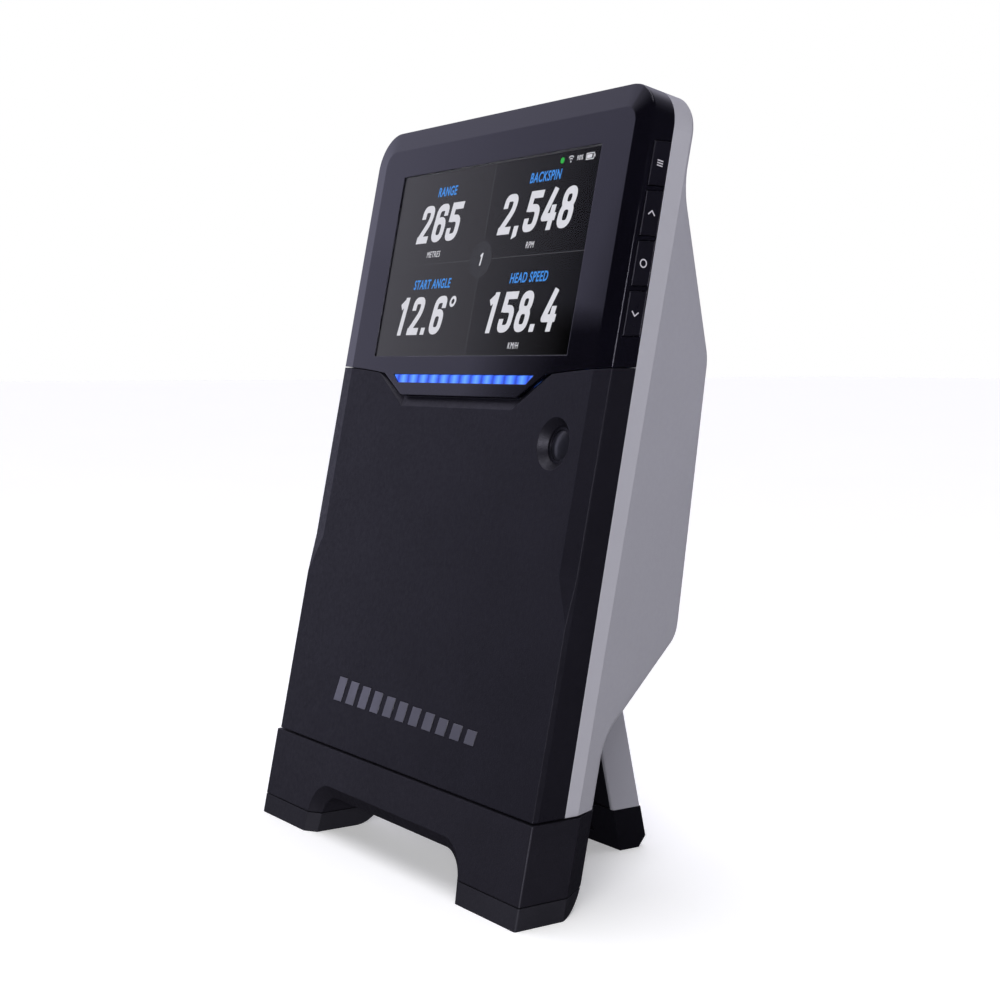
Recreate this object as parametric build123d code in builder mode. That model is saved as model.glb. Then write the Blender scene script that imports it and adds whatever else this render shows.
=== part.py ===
from build123d import *
import math
import os

# Launch monitor: a leaning display unit on a two-footed boot with a folding kickstand.
# Millimetres, +Z up, the display faces -Y. The origin is the centre of the overall box, on the ground.

os.makedirs("parts", exist_ok=True)

# ---------------------------------------------------------------- driving dimensions
# Places on the body are given in its own directions: u across (+X), v up the leaned
# front face, w into the body behind the front face.
lean = 11.6                    # backward lean of the front face, degrees

body_width = 162.0
body_top = 255.0               # v of the top edge
top_corner_radius = 13.0
body_bottom = 30.9             # height above the ground of the body's lower end
front_wall = 2.6
rear_wall = 2.4
seam_gap = 0.35                # visible gap between neighbouring covers
fit_gap = 0.1                  # clearance between an inlaid piece and its seat

band_depth_top = 9.0           # w where the front covers meet the rear shell, at the top
band_depth_bottom = 11.6       # and at the lower end
facet_width = 7.5              # shallow facet along the long edges and the top
facet_depth = 1.1
facet_end = 104.0              # v where the facet starts to run out
facet_run_out = 15.0
edge_ease = 0.45               # narrow bevel that eases the front covers' outer edges
edge_ease_depth = 0.6          # how far it reaches behind the facet
boot_edge_round = 0.7

seam_side = 166.9              # v of the bezel's lower edge at the sides
seam_inner = 164.6             # and where the pod starts
pod_half_top = 49.0
pod_half_bottom = 35.5
pod_bottom = 157.0
pod_bevel = 3.7
pod_bevel_depth = 1.7

display_width = 117.3
display_height = 66.0
display_bottom = 171.1
glass_thickness = 0.7
glass_recess = 0.2
panel_thickness = 3.0
panel_margin = 2.5

light_half_top = 43.0
light_half_bottom = 39.5
light_top = 164.6
light_bottom = 161.7
light_recess = 0.5
led_count = 12

camera_u = 59.3
camera_v = 143.5
camera_mouth_radius = 8.25
camera_throat_radius = 5.8
camera_lens_radius = 4.7
camera_lens_crown = 0.4        # how far the lens stands proud of its ring

badge_bottom = 47.5
badge_height = 8.6
badge_pitch = 8.4
badge_bar = 5.4
badge_slant = 2.2
badge_count = 11
badge_depth = 0.6

shell_top_depth = 18.3         # w of the rear face beside the display's top
shell_waist = 227.0            # v where the rear starts to swell
hump_top = 181.0               # v of the hump's upper corner
hump_top_depth = 50.6
hump_bottom = 91.0             # v of the hump's lower corner
hump_bottom_depth = 60.2
neck_top = 57.5
neck_depth = 25.0
rim_depth = 16.0               # w where the sides start to draft inwards
draft_inset = 19.5             # how far the sides come in at draft_reference_depth
draft_reference_depth = 60.0

boot_height = 30.3
boot_step = 0.8                # how far the boot stands proud of the body
sole_height = 7.0
boot_side_depth = 16.4         # w where the rear corners' chamfers start
boot_rear_depth = 26.2         # w of the rear face, which leans with the body
boot_rear_half = 75.0
boot_heel_radius = 11.0
arch_half_bottom = 46.5
arch_half_top = 43.5
arch_height = 13.6
arch_radius = 9.0
arch_bevel = 4.3
arch_bevel_depth = 3.0
boot_wall = 2.6

button_height = 13.2
button_rib = 1.7               # wall left between neighbouring buttons
button_pitch = button_height + button_rib
button_count = 4
button_middle = 202.05         # height above the ground of the middle of the row of buttons
button_top = button_middle + (button_count * button_pitch - button_rib) / 2
button_front = 2.8             # w of the buttons' front edge
button_rear = 8.9
button_gap = 0.2
button_proud = 0.3
button_flange = 1.0
button_flange_lip = 0.45
button_travel = 0.6
button_stem_radius = 1.5
button_stem_length = 1.8

hinge_inset = 12.69            # how far the hinge lies inside the hump's lower corner
hinge_rise = 0.33              # and above it, along the front face
leg_lean = 12.4                # degrees from vertical when open
leg_fold = 30.0
leg_width = 66.0
leg_thickness = 11.4
leg_wall = 1.6
leg_side_gap = 1.2
leg_swing_gap = 0.7
foot_height = 14.3             # height above the ground of the foot's level top seam
foot_chamfer = 3.7             # on the foot's lower rear edge
liner_thickness = 1.4
liner_recess = 0.5
pin_radius = 2.0
pin_clearance = 0.05
washer_radius = 4.6
washer_thickness = 0.8
ear_thickness = 2.5
ear_radius = 5.8
well_wall = 2.0

# The rear shell's shaping.
through = 400.0
corner_draft_reach = 12.0      # how deep the draft carries the rounded top corners with it
corner_draft_start = 214.0     # v above which it does
rear_round = 3.5

# Screws, bosses, pegs and posts.
case_screw_u = 66.0
case_screw_top = 240.0
case_screw_bottom = 46.0
case_screw_radius = 1.5
case_head_radius = 2.9
case_head_height = 1.8
case_head_recess = 0.6
boss_radius = 4.0
boss_tip = 5.0                 # w where the case screws end
boot_screw_u = 30.0
boot_screw_y = 24.5
boot_screw_radius = 1.5
boot_head_radius = 3.0
boot_head_height = 2.0
boot_screw_end = 35.0
boot_tray_floor = 21.6
peg_radius = 3.0
peg_height = 4.0
standoff_radius = 2.6
screw_hole = 1.1

# Camera ring, charging port and label recess.
ring_thickness = 3.0
port_u = 40.0
port_v = 106.0
port_width = 9.0
port_height = 3.2
port_length = 7.5
port_board_reach = 2.8         # how far the port's board and its parts reach in front of the port
label_half = 36.0
label_low = 112.0
label_high = 160.0
label_depth = 0.5

# The kickstand's hollow and its foot's notches.
leg_root = -9.0                # along the leg, where its hollow starts
notch_width = 12.0
notch_height = 6.5
notch_depth = 1.6

# Button switches and their board.
switch_height = 1.4
board_thickness = 1.2
button_board_width = 7.0

# Chassis plate and boards, depths as w.
chassis_face = 12.6
chassis_thickness = 1.4
chassis_low = 41.0
antenna_half = 17.0
radar_left = -68.0
radar_right = 44.0
radar_low = 54.0
radar_high = 150.0
radar_face = 5.2
radar_thickness = 1.2
patch_size = 9.0
patch_pitch = 15.0
patch_columns = 6
patch_rows = 5
main_half = 56.0
main_low = 100.0
main_high = 206.0
main_face = 17.4
main_thickness = 1.6
shield_width = 52.0
shield_length = 40.0
shield_height = 2.4

# Battery and display ribbon.
battery_half = 46.0
battery_low = 101.0
battery_high = 166.0
battery_face = 27.5
battery_port_gap = 1.8
battery_wall_gap = 3.3
ribbon_width = 24.0
ribbon_thickness = 0.3
ribbon_slot = 176.0

# ---------------------------------------------------------------- frame
lean_sin = math.sin(math.radians(lean))
lean_cos = math.cos(math.radians(lean))
leg_sin = math.sin(math.radians(leg_lean))
leg_cos = math.cos(math.radians(leg_lean))

# The hinge, measured from the front edge and the ground.
hinge_v = hump_bottom + hinge_rise
hinge_w = hump_bottom_depth - hinge_inset
hinge_y = hinge_v * lean_sin + hinge_w * lean_cos
hinge_z = hinge_v * lean_cos - hinge_w * lean_sin

# The overall depth runs from the boot's front to the chamfer on the kickstand's foot,
# or to the hump's upper corner where that lies further back.
front_reach = boot_step / lean_cos
chamfer_top = foot_chamfer * leg_cos
foot_reach = hinge_y + (hinge_z - chamfer_top) * leg_sin / leg_cos + leg_thickness / 2 / leg_cos
hump_reach = hump_top * lean_sin + hump_top_depth * lean_cos
rear_reach = max(foot_reach, hump_reach)
front_y = -(rear_reach - front_reach) / 2
front_edge = (0, front_y, 0)

front = Plane(front_edge, x_dir=(1, 0, 0), z_dir=(0, -lean_cos, lean_sin))
side = Plane(front_edge, x_dir=(0, lean_cos, -lean_sin), z_dir=(1, 0, 0))
cross = Plane(front_edge, x_dir=(1, 0, 0), z_dir=(0, lean_sin, lean_cos))
upright_side = Plane(front_edge, x_dir=(0, 1, 0), z_dir=(1, 0, 0))
upright_front = Plane((0, front_y - 20, 0), x_dir=(1, 0, 0), z_dir=(0, -1, 0))
ground = Plane(front_edge, x_dir=(1, 0, 0), z_dir=(0, 0, 1))
leg_axis = Plane((0, front_y + hinge_y, hinge_z), x_dir=(0, leg_cos, leg_sin), z_dir=(1, 0, 0))

half_width = body_width / 2
draft_angle = math.degrees(math.atan(draft_inset / (draft_reference_depth - rim_depth)))


def front_plane(depth):
    """Plane parallel to the leaned front face, depth behind it."""
    return front.offset(-depth)


def band_depth(v):
    """w where the front covers meet the rear shell at height v."""
    return band_depth_bottom + (band_depth_top - band_depth_bottom) * v / body_top


def v_at(height, depth):
    """v of a point at a height above the ground and a depth behind the front face."""
    return (height + depth * lean_sin) / lean_cos


def half_at(depth, inset=0.0):
    """Half width of the drafted rear shell at a depth."""
    slope = draft_inset / (draft_reference_depth - rim_depth)
    return half_width - inset - max(0.0, depth - rim_depth) * slope


def finish(builder, name):
    """Label a finished piece and write it."""
    builder.part.label = name
    export_step(builder.part, f"parts/{name}.step")


# ---------------------------------------------------------------- body envelope
def body_outline(inset):
    """The body's front view, with its two top corners rounded."""
    with BuildSketch() as outline:
        with Locations((0, (body_top - inset) / 2)):
            Rectangle(body_width - 2 * inset, body_top - inset)
        fillet(vertices().group_by(Axis.Y)[-1], top_corner_radius - inset)
    return outline.sketch


def outline_prism(inset, low, high):
    """The body's outline between two depths."""
    with BuildPart() as prism:
        with BuildSketch(front_plane(low)):
            add(body_outline(inset))
        extrude(amount=low - high)
    return prism.part


def trimmed_bottom(solid, height):
    """The part of a solid above a height."""
    with BuildPart() as trimmed:
        add(solid)
        split(bisect_by=Plane.XY.offset(height), keep=Keep.TOP)
    return trimmed.part


def front_slab(inset, low):
    """What lies between a depth and the meeting plane of the front and rear shells."""
    with BuildPart() as slab:
        add(outline_prism(inset, low, band_depth_bottom + 1))
        with BuildSketch(side):
            Polygon(
                (-5, -20),
                (band_depth(-20), -20),
                (band_depth(body_top + 20), body_top + 20),
                (-5, body_top + 20),
                align=None,
            )
        extrude(amount=through / 2, both=True, mode=Mode.INTERSECT)
    return slab.part


def facet_run_out_cut(sign):
    """The sloping end of a long-edge facet."""
    inner = half_width - facet_width
    with BuildPart() as cut:
        with BuildSketch(front_plane(-1)):
            Polygon(
                (sign * inner, facet_end),
                (sign * (half_width + 1), facet_end),
                (sign * (half_width + 1), facet_end - facet_run_out * (1 + 1 / facet_width)),
                align=None,
            )
        extrude(amount=-1 - 2 * facet_depth)
        slope_u = sign * facet_run_out * facet_depth
        slope_v = facet_depth * facet_width
        slope_w = -facet_run_out * facet_width
        normal = (
            slope_u,
            slope_v * lean_sin + slope_w * lean_cos,
            slope_v * lean_cos - slope_w * lean_sin,
        )
        start = front.from_local_coords((sign * inner, facet_end, 0))
        split(bisect_by=Plane(start, z_dir=normal), keep=Keep.TOP)
    return cut.part


def front_block():
    """Outside of both front covers together: slab, facets and eased edges."""
    slab = front_slab(0, 0)
    with BuildPart() as upper:
        add(slab)
        split(bisect_by=cross.offset(facet_end), keep=Keep.TOP)
        face = faces().sort_by(Axis(front_edge, front.z_dir))[-1]
        rim = face.edges().sort_by(Axis(front_edge, front.y_dir))[1:]
        chamfer(rim, length=facet_width, length2=facet_depth, reference=face)
    with BuildPart() as lower:
        add(slab)
        split(bisect_by=cross.offset(facet_end), keep=Keep.BOTTOM)
        add(facet_run_out_cut(1), mode=Mode.SUBTRACT)
        add(facet_run_out_cut(-1), mode=Mode.SUBTRACT)
    with BuildPart() as eased:
        add(slab)
        face = faces().sort_by(Axis(front_edge, front.z_dir))[-1]
        rim = face.edges().sort_by(Axis(front_edge, front.y_dir))[1:]
        chamfer(rim, length=edge_ease, length2=facet_depth + edge_ease_depth, reference=face)
    with BuildPart() as block:
        add(upper.part)
        add(lower.part)
        add(eased.part, mode=Mode.INTERSECT)
    return trimmed_bottom(block.part, body_bottom)


def front_cavity():
    """Hollow of the front covers."""
    return trimmed_bottom(front_slab(front_wall, front_wall), body_bottom + front_wall)


def cover_region(grow):
    """Front view of the lower cover, a closed area below the bezel's edge."""
    low = pod_bottom * lean_cos
    middle = seam_inner * lean_cos
    high = seam_side * lean_cos
    bend = (pod_half_top + half_width) / 2
    with BuildSketch() as region:
        with BuildLine():
            Polyline((0, low), (pod_half_bottom, low), (pod_half_top, middle))
            ThreePointArc((pod_half_top, middle), (bend, (middle + high) / 2 + 0.35), (half_width, high))
            Polyline((half_width, high), (half_width + 20, high), (half_width + 20, -20), (0, -20), (0, low))
        make_face()
        mirror(about=Plane.YZ)
        pod_corners = vertices().filter_by(lambda corner: abs(abs(corner.X) - pod_half_bottom) < 0.01)
        fillet(pod_corners, 3)
        pod_shoulders = vertices().filter_by(lambda corner: abs(abs(corner.X) - pod_half_top) < 0.01)
        fillet(pod_shoulders, 2)
        if grow:
            offset(amount=grow)
    return region.sketch


def cover_prism(grow=0.0):
    """Everything straight behind the lower cover's area."""
    with BuildPart() as prism:
        with BuildSketch(upright_front):
            add(cover_region(grow))
        extrude(amount=-through)
    return prism.part


# ---------------------------------------------------------------- fasteners and bosses


top_screws = [(sign * case_screw_u, case_screw_top) for sign in (-1, 1)]
bottom_screws = [(sign * case_screw_u, case_screw_bottom) for sign in (-1, 1)]
boot_screw_places = [(sign * boot_screw_u, boot_screw_y) for sign in (-1, 1)]

# ---------------------------------------------------------------- buttons
button_names = ["menu_button", "up_button", "select_button", "down_button"]
button_tops = [button_top - index * button_pitch for index in range(len(button_names))]
cap_inner = half_width - front_wall
flange_inner = cap_inner - button_flange - fit_gap
stem_tip = flange_inner - button_stem_length


def side_window(top, grow):
    """Outline of a button on the side: level ends, edges along the lean."""
    high = top + grow
    low = top - button_height - grow
    near = button_front - grow
    far = button_rear + grow
    with BuildSketch() as window:
        Polygon(
            (near, v_at(low, near)),
            (far, v_at(low, far)),
            (far, v_at(high, far)),
            (near, v_at(high, near)),
            align=None,
        )
    return window.sketch


# ---------------------------------------------------------------- front covers
block = front_block()
cavity = front_cavity()

with BuildPart() as display_bezel:
    add(block)
    add(cavity, mode=Mode.SUBTRACT)
    for place in top_screws:
        with BuildSketch(front_plane(front_wall / 2)):
            with Locations(place):
                Circle(boss_radius)
        extrude(amount=front_wall / 2 - band_depth(case_screw_top) + 0.2)
    add(cover_prism(seam_gap), mode=Mode.SUBTRACT)
    with BuildSketch(front_plane(boss_tip - 1)):
        with Locations(*top_screws):
            Circle(case_screw_radius)
    extrude(amount=-20, mode=Mode.SUBTRACT)
    with BuildSketch(front_plane(-1)):
        with Locations((0, display_bottom + display_height / 2)):
            Rectangle(display_width + 2 * fit_gap, display_height + 2 * fit_gap)
    extrude(amount=-1 - 2 * front_wall, mode=Mode.SUBTRACT)
    with BuildSketch(front_plane(-1)):
        Polygon(
            (-light_half_top, light_top),
            (light_half_top, light_top),
            (light_half_bottom, light_bottom),
            (-light_half_bottom, light_bottom),
            align=None,
        )
    extrude(amount=-1 - 2 * front_wall, mode=Mode.SUBTRACT)
    for top in button_tops:
        with BuildSketch(side.offset(half_width - front_wall - 1)):
            add(side_window(top, button_gap))
        extrude(amount=front_wall + 3, mode=Mode.SUBTRACT)

badge_length = badge_pitch * (badge_count - 1)


def badge_bars(shrink):
    """A row of slanted dashes that grow shorter from left to right."""
    with BuildSketch() as bars:
        for index in range(badge_count):
            height = badge_height * (1 - 0.045 * index) - 2 * shrink
            middle = index * badge_pitch - badge_length / 2
            low = badge_bottom + shrink
            half = badge_bar / 2 - shrink
            slant = badge_slant * height / badge_height
            Polygon(
                (middle - half - slant / 2, low),
                (middle + half - slant / 2, low),
                (middle + half + slant / 2, low + height),
                (middle - half + slant / 2, low + height),
                align=None,
            )
    return bars.sketch


with BuildPart() as front_cover:
    add(block)
    add(cavity, mode=Mode.SUBTRACT)
    for place in bottom_screws:
        with BuildSketch(front_plane(front_wall / 2)):
            with Locations(place):
                Circle(boss_radius)
        extrude(amount=front_wall / 2 - band_depth(case_screw_bottom) + 0.2)
    with BuildSketch(front_plane(front_wall / 2)):
        with Locations((camera_u, camera_v)):
            Circle(camera_mouth_radius + 2)
    extrude(amount=-front_wall / 2)
    add(cover_prism(), mode=Mode.INTERSECT)
    with BuildSketch(front_plane(boss_tip - 1)):
        with Locations(*bottom_screws):
            Circle(case_screw_radius)
    extrude(amount=-20, mode=Mode.SUBTRACT)
    with BuildSketch(front_plane(-0.02)):
        Polygon(
            (-pod_half_top - pod_bevel, seam_inner + 0.4),
            (pod_half_top + pod_bevel, seam_inner + 0.4),
            (pod_half_bottom - 1.6, pod_bottom - pod_bevel),
            (-pod_half_bottom + 1.6, pod_bottom - pod_bevel),
            align=None,
        )
    with BuildSketch(front_plane(pod_bevel_depth)):
        Polygon(
            (-pod_half_top - 1.2, seam_inner + 0.4),
            (pod_half_top + 1.2, seam_inner + 0.4),
            (pod_half_bottom, pod_bottom),
            (-pod_half_bottom, pod_bottom),
            align=None,
        )
    loft(ruled=True, mode=Mode.SUBTRACT)
    with BuildSketch(front_plane(-0.01)):
        with Locations((camera_u, camera_v)):
            Circle(camera_mouth_radius)
    with BuildSketch(front_plane(front_wall + 0.01)):
        with Locations((camera_u, camera_v)):
            Circle(camera_throat_radius)
    loft(mode=Mode.SUBTRACT)
    with BuildSketch(front_plane(-1)):
        add(badge_bars(0))
    extrude(amount=-1 - badge_depth, mode=Mode.SUBTRACT)

with BuildPart() as badge_inlay:
    with BuildSketch(front_plane(-0.1)):
        add(badge_bars(0.05))
    extrude(amount=-0.1 - badge_depth)

# ---------------------------------------------------------------- display
with BuildPart() as display_glass:
    with BuildSketch(front_plane(glass_recess)):
        with Locations((0, display_bottom + display_height / 2)):
            Rectangle(display_width, display_height)
    extrude(amount=-glass_thickness)

panel_face = glass_recess + glass_thickness + fit_gap
panel_back = front_wall + panel_thickness

with BuildPart() as display_panel:
    with BuildSketch(front_plane(panel_face)):
        with Locations((0, display_bottom + display_height / 2)):
            Rectangle(display_width, display_height)
    extrude(amount=panel_face - front_wall - fit_gap)
    with BuildSketch(front_plane(front_wall + fit_gap)):
        with Locations((0, display_bottom + display_height / 2)):
            Rectangle(display_width + 2 * panel_margin, display_height + 2 * panel_margin)
    extrude(amount=fit_gap - panel_thickness)

with BuildPart() as light_bar_lens:
    with BuildSketch(front_plane(light_recess)):
        Polygon(
            (-light_half_top + 2 * fit_gap, light_top - fit_gap),
            (light_half_top - 2 * fit_gap, light_top - fit_gap),
            (light_half_bottom - fit_gap, light_bottom + fit_gap),
            (-light_half_bottom + fit_gap, light_bottom + fit_gap),
            align=None,
        )
    extrude(amount=light_recess - front_wall - fit_gap)
    with BuildSketch(front_plane(front_wall + fit_gap)):
        with Locations((0, (light_top + light_bottom) / 2)):
            Rectangle(2 * light_half_top + 2, light_top - light_bottom + 2)
    extrude(amount=-0.8)

light_board_face = front_wall + fit_gap + 0.8 + fit_gap + 0.7
led_pitch = 2 * light_half_bottom / led_count

with BuildPart() as light_bar_board:
    with BuildSketch(front_plane(light_board_face)):
        with Locations((0, (light_top + light_bottom) / 2)):
            Rectangle(2 * light_half_top + 4, light_top - light_bottom + 4)
    extrude(amount=-1.0)
    with BuildSketch(front_plane(light_board_face - 0.7)):
        with Locations((0, (light_top + light_bottom) / 2)):
            with GridLocations(led_pitch, 1, led_count, 1):
                Rectangle(2.8, 2.0)
    extrude(amount=-0.7)

# ---------------------------------------------------------------- camera
ring_face = front_wall + fit_gap
ring_back = ring_face + ring_thickness
lens_face = ring_face - camera_lens_crown
lens_edge = ring_face + 0.3
lens_back = lens_edge + 1.3

with BuildPart() as camera_ring:
    with BuildSketch(front_plane(ring_face)):
        with Locations((camera_u, camera_v)):
            Circle(camera_mouth_radius + 1.2)
    extrude(amount=ring_face - ring_back)
    with BuildSketch(front_plane(ring_face)):
        with Locations((camera_u, camera_v)):
            Circle(camera_lens_radius + fit_gap)
    extrude(amount=-ring_thickness, mode=Mode.SUBTRACT)

lens_axis = Plane(
    front.from_local_coords((camera_u, camera_v, 0)),
    x_dir=(1, 0, 0),
    z_dir=cross.z_dir,
)

with BuildPart() as camera_lens:
    with BuildSketch(lens_axis):
        with BuildLine():
            Line((0, lens_back), (0, lens_face))
            ThreePointArc(
                (0, lens_face),
                (camera_lens_radius / 2, lens_face + (lens_edge - lens_face) / 4),
                (camera_lens_radius, lens_edge),
            )
            Polyline(
                (camera_lens_radius, lens_edge),
                (camera_lens_radius, lens_back),
                (0, lens_back),
            )
        make_face()
    revolve(axis=Axis(lens_axis.origin, lens_axis.y_dir), revolution_arc=360)

with BuildPart() as camera_module:
    with BuildSketch(front_plane(ring_back + fit_gap)):
        with Locations((camera_u, camera_v)):
            RectangleRounded(11, 11, 1)
    extrude(amount=-4.2)
    with BuildSketch(front_plane(lens_back + fit_gap)):
        with Locations((camera_u, camera_v)):
            Circle(camera_lens_radius - 0.4)
    extrude(amount=lens_back - ring_back - 1)

# ---------------------------------------------------------------- rear shell


def rear_profile():
    """Side view of the rear shell: thin behind the display, a hump, and a slim neck."""
    with BuildSketch() as profile:
        Polygon(
            (-30, -20),
            (neck_depth, -20),
            (neck_depth, neck_top),
            (hump_bottom_depth, hump_bottom),
            (hump_top_depth, hump_top),
            (shell_top_depth, shell_waist),
            (shell_top_depth, body_top + 20),
            (-30, body_top + 20),
            align=None,
        )
        rounds = [
            (neck_depth, neck_top, 16),
            (hump_bottom_depth, hump_bottom, 9),
            (hump_top_depth, hump_top, 12),
            (shell_top_depth, shell_waist, 20),
        ]
        for depth, height, radius in rounds:
            place = Vector(depth, height)
            corner = vertices().sort_by_distance(place)[0]
            fillet(corner, radius)
    return profile.sketch


def rear_solid(inset):
    """The rear shell's outside, or its hollow when inset by the wall."""
    far = 90
    with BuildPart() as upper:
        add(outline_prism(inset, -1, rim_depth))
        with BuildSketch(front_plane(rim_depth)):
            add(body_outline(inset))
        extrude(amount=-corner_draft_reach, taper=draft_angle)
        split(bisect_by=cross.offset(corner_draft_start), keep=Keep.TOP)
    with BuildPart() as lower:
        with BuildSketch(cross.offset(-50)):
            Polygon(
                (-half_at(0, inset), -1),
                (half_at(0, inset), -1),
                (half_at(0, inset), rim_depth),
                (half_at(far, inset), far),
                (-half_at(far, inset), far),
                (-half_at(0, inset), rim_depth),
                align=None,
            )
        extrude(amount=50 + corner_draft_start)
    with BuildPart() as solid:
        add(upper.part)
        add(lower.part)
        with BuildSketch(side):
            add(rear_profile())
            if inset:
                offset(amount=-inset)
        extrude(amount=through / 2, both=True, mode=Mode.INTERSECT)
    return solid.part


def rear_rim(solid):
    """The edges where the rear shell's sides and top turn into its rear face."""
    rim = []
    for edge in solid.edges():
        middle = side.to_local_coords(edge.center(CenterOf.MASS))
        across_rear = abs(middle.Z) < 1 and middle.Y < body_top - 1.5
        lower_end = middle.Y < 1
        draft_joint = abs(middle.Y - corner_draft_start) < 0.01
        if middle.X > shell_top_depth - 0.1 and not (across_rear or lower_end or draft_joint):
            rim.append(edge)
    return rim


def behind_band(solid, gap):
    """What lies behind the meeting plane of the front and rear shells."""
    with BuildPart() as rest:
        add(solid)
        with BuildSketch(side):
            Polygon(
                (-40, -40),
                (band_depth(-40) + gap, -40),
                (band_depth(body_top + 40) + gap, body_top + 40),
                (-40, body_top + 40),
                align=None,
            )
        extrude(amount=through / 2, both=True, mode=Mode.SUBTRACT)
    return rest.part


def swing_point(angle, across, along):
    """A point beside the leg when the leg leans at an angle, in the upright side view."""
    tilt = math.radians(angle)
    y = hinge_y + across * math.cos(tilt) + along * math.sin(tilt)
    z = hinge_z + across * math.sin(tilt) - along * math.cos(tilt)
    return (y, z)


def swing_region(reach):
    """Side view of the space that the leg swings through, grown by reach."""
    open_angle = leg_lean
    folded_angle = leg_lean - leg_fold
    with BuildPart() as space:
        half = leg_width / 2 + leg_side_gap + max(0.0, reach - leg_swing_gap)
        radius = leg_thickness / 2 + reach
        with BuildSketch(upright_side.offset(-half)):
            with Locations((hinge_y, hinge_z)):
                Circle(radius)
            Polygon(
                swing_point(open_angle, radius, 0),
                swing_point(open_angle, radius, 60),
                swing_point(folded_angle, -radius, 60),
                swing_point(folded_angle, -radius, 0),
                align=None,
            )
        extrude(amount=2 * half)
    return space.part


def rear_depth(v):
    """w of the rear face at height v, away from its rounded corners."""
    stops = [
        (neck_top, neck_depth),
        (hump_bottom, hump_bottom_depth),
        (hump_top, hump_top_depth),
        (shell_waist, shell_top_depth),
    ]
    if v <= neck_top:
        return neck_depth
    for (low, low_depth), (high, high_depth) in zip(stops, stops[1:]):
        if v <= high:
            return low_depth + (high_depth - low_depth) * (v - low) / (high - low)
    return shell_top_depth


with BuildPart() as rounded_solid:
    add(rear_solid(0))
    fillet(rear_rim(rounded_solid.part), rear_round)

rear_outside = trimmed_bottom(behind_band(rounded_solid.part, 0), body_bottom)

with BuildPart() as rear_hollow:
    add(trimmed_bottom(rear_solid(rear_wall), body_bottom + rear_wall))
    add(swing_region(leg_swing_gap + well_wall), mode=Mode.SUBTRACT)

pin_reach = leg_width / 2 + leg_side_gap + well_wall + ear_thickness

with BuildPart() as rear_shell:
    add(rear_outside)
    add(rear_hollow.part, mode=Mode.SUBTRACT)
    for place in top_screws + bottom_screws:
        with BuildSketch(front_plane(band_depth(place[1]) + 0.2)):
            with Locations(place):
                Circle(boss_radius)
        extrude(amount=band_depth(place[1]) + 1.4 - rear_depth(place[1]))
    with BuildSketch(Plane(ground, origin=(0, front_y, body_bottom + 1))):
        with Locations(*boot_screw_places):
            Circle(boss_radius - 0.6)
    extrude(amount=boot_screw_end - body_bottom + 1)
    add(swing_region(leg_swing_gap), mode=Mode.SUBTRACT)
    for place in top_screws + bottom_screws:
        with BuildSketch(front_plane(0)):
            with Locations(place):
                Circle(case_screw_radius + 0.15)
        extrude(amount=-60, mode=Mode.SUBTRACT)
        with BuildSketch(front_plane(rear_depth(place[1]) - case_head_height - case_head_recess)):
            with Locations(place):
                Circle(case_head_radius + 0.2)
        extrude(amount=-20, mode=Mode.SUBTRACT)
    with BuildSketch(ground):
        with Locations(*boot_screw_places):
            Circle(boot_screw_radius)
    extrude(amount=boot_screw_end + 0.5, mode=Mode.SUBTRACT)
    with BuildSketch(upright_side.offset(-pin_reach)):
        with Locations((hinge_y, hinge_z)):
            Circle(pin_radius + pin_clearance)
    extrude(amount=2 * pin_reach, mode=Mode.SUBTRACT)
    with BuildSketch(front_plane(rear_depth(port_v) - port_length)):
        with Locations((port_u, port_v)):
            RectangleRounded(port_width + 2 * fit_gap, port_height + 2 * fit_gap, port_height / 2)
    extrude(amount=-20, mode=Mode.SUBTRACT)
    with BuildSketch(side.offset(-label_half)):
        Polygon(
            (rear_depth(label_low) - label_depth, label_low),
            (rear_depth(label_low) + 5, label_low),
            (rear_depth(label_high) + 5, label_high),
            (rear_depth(label_high) - label_depth, label_high),
            align=None,
        )
    extrude(amount=2 * label_half, mode=Mode.SUBTRACT)

# ---------------------------------------------------------------- boot and soles
def arch_sketch_points(half_bottom, half_top, height, depth):
    """Corners of the arch on a plane parallel to the front, from heights above the ground."""
    return [
        (-half_bottom, v_at(-10, depth)),
        (half_bottom, v_at(-10, depth)),
        (half_top, v_at(height, depth)),
        (-half_top, v_at(height, depth)),
    ]


def boot_rear(height):
    """How far behind the front edge the boot's rear face lies at a height."""
    return (boot_rear_depth + height * lean_sin) / lean_cos


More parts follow.
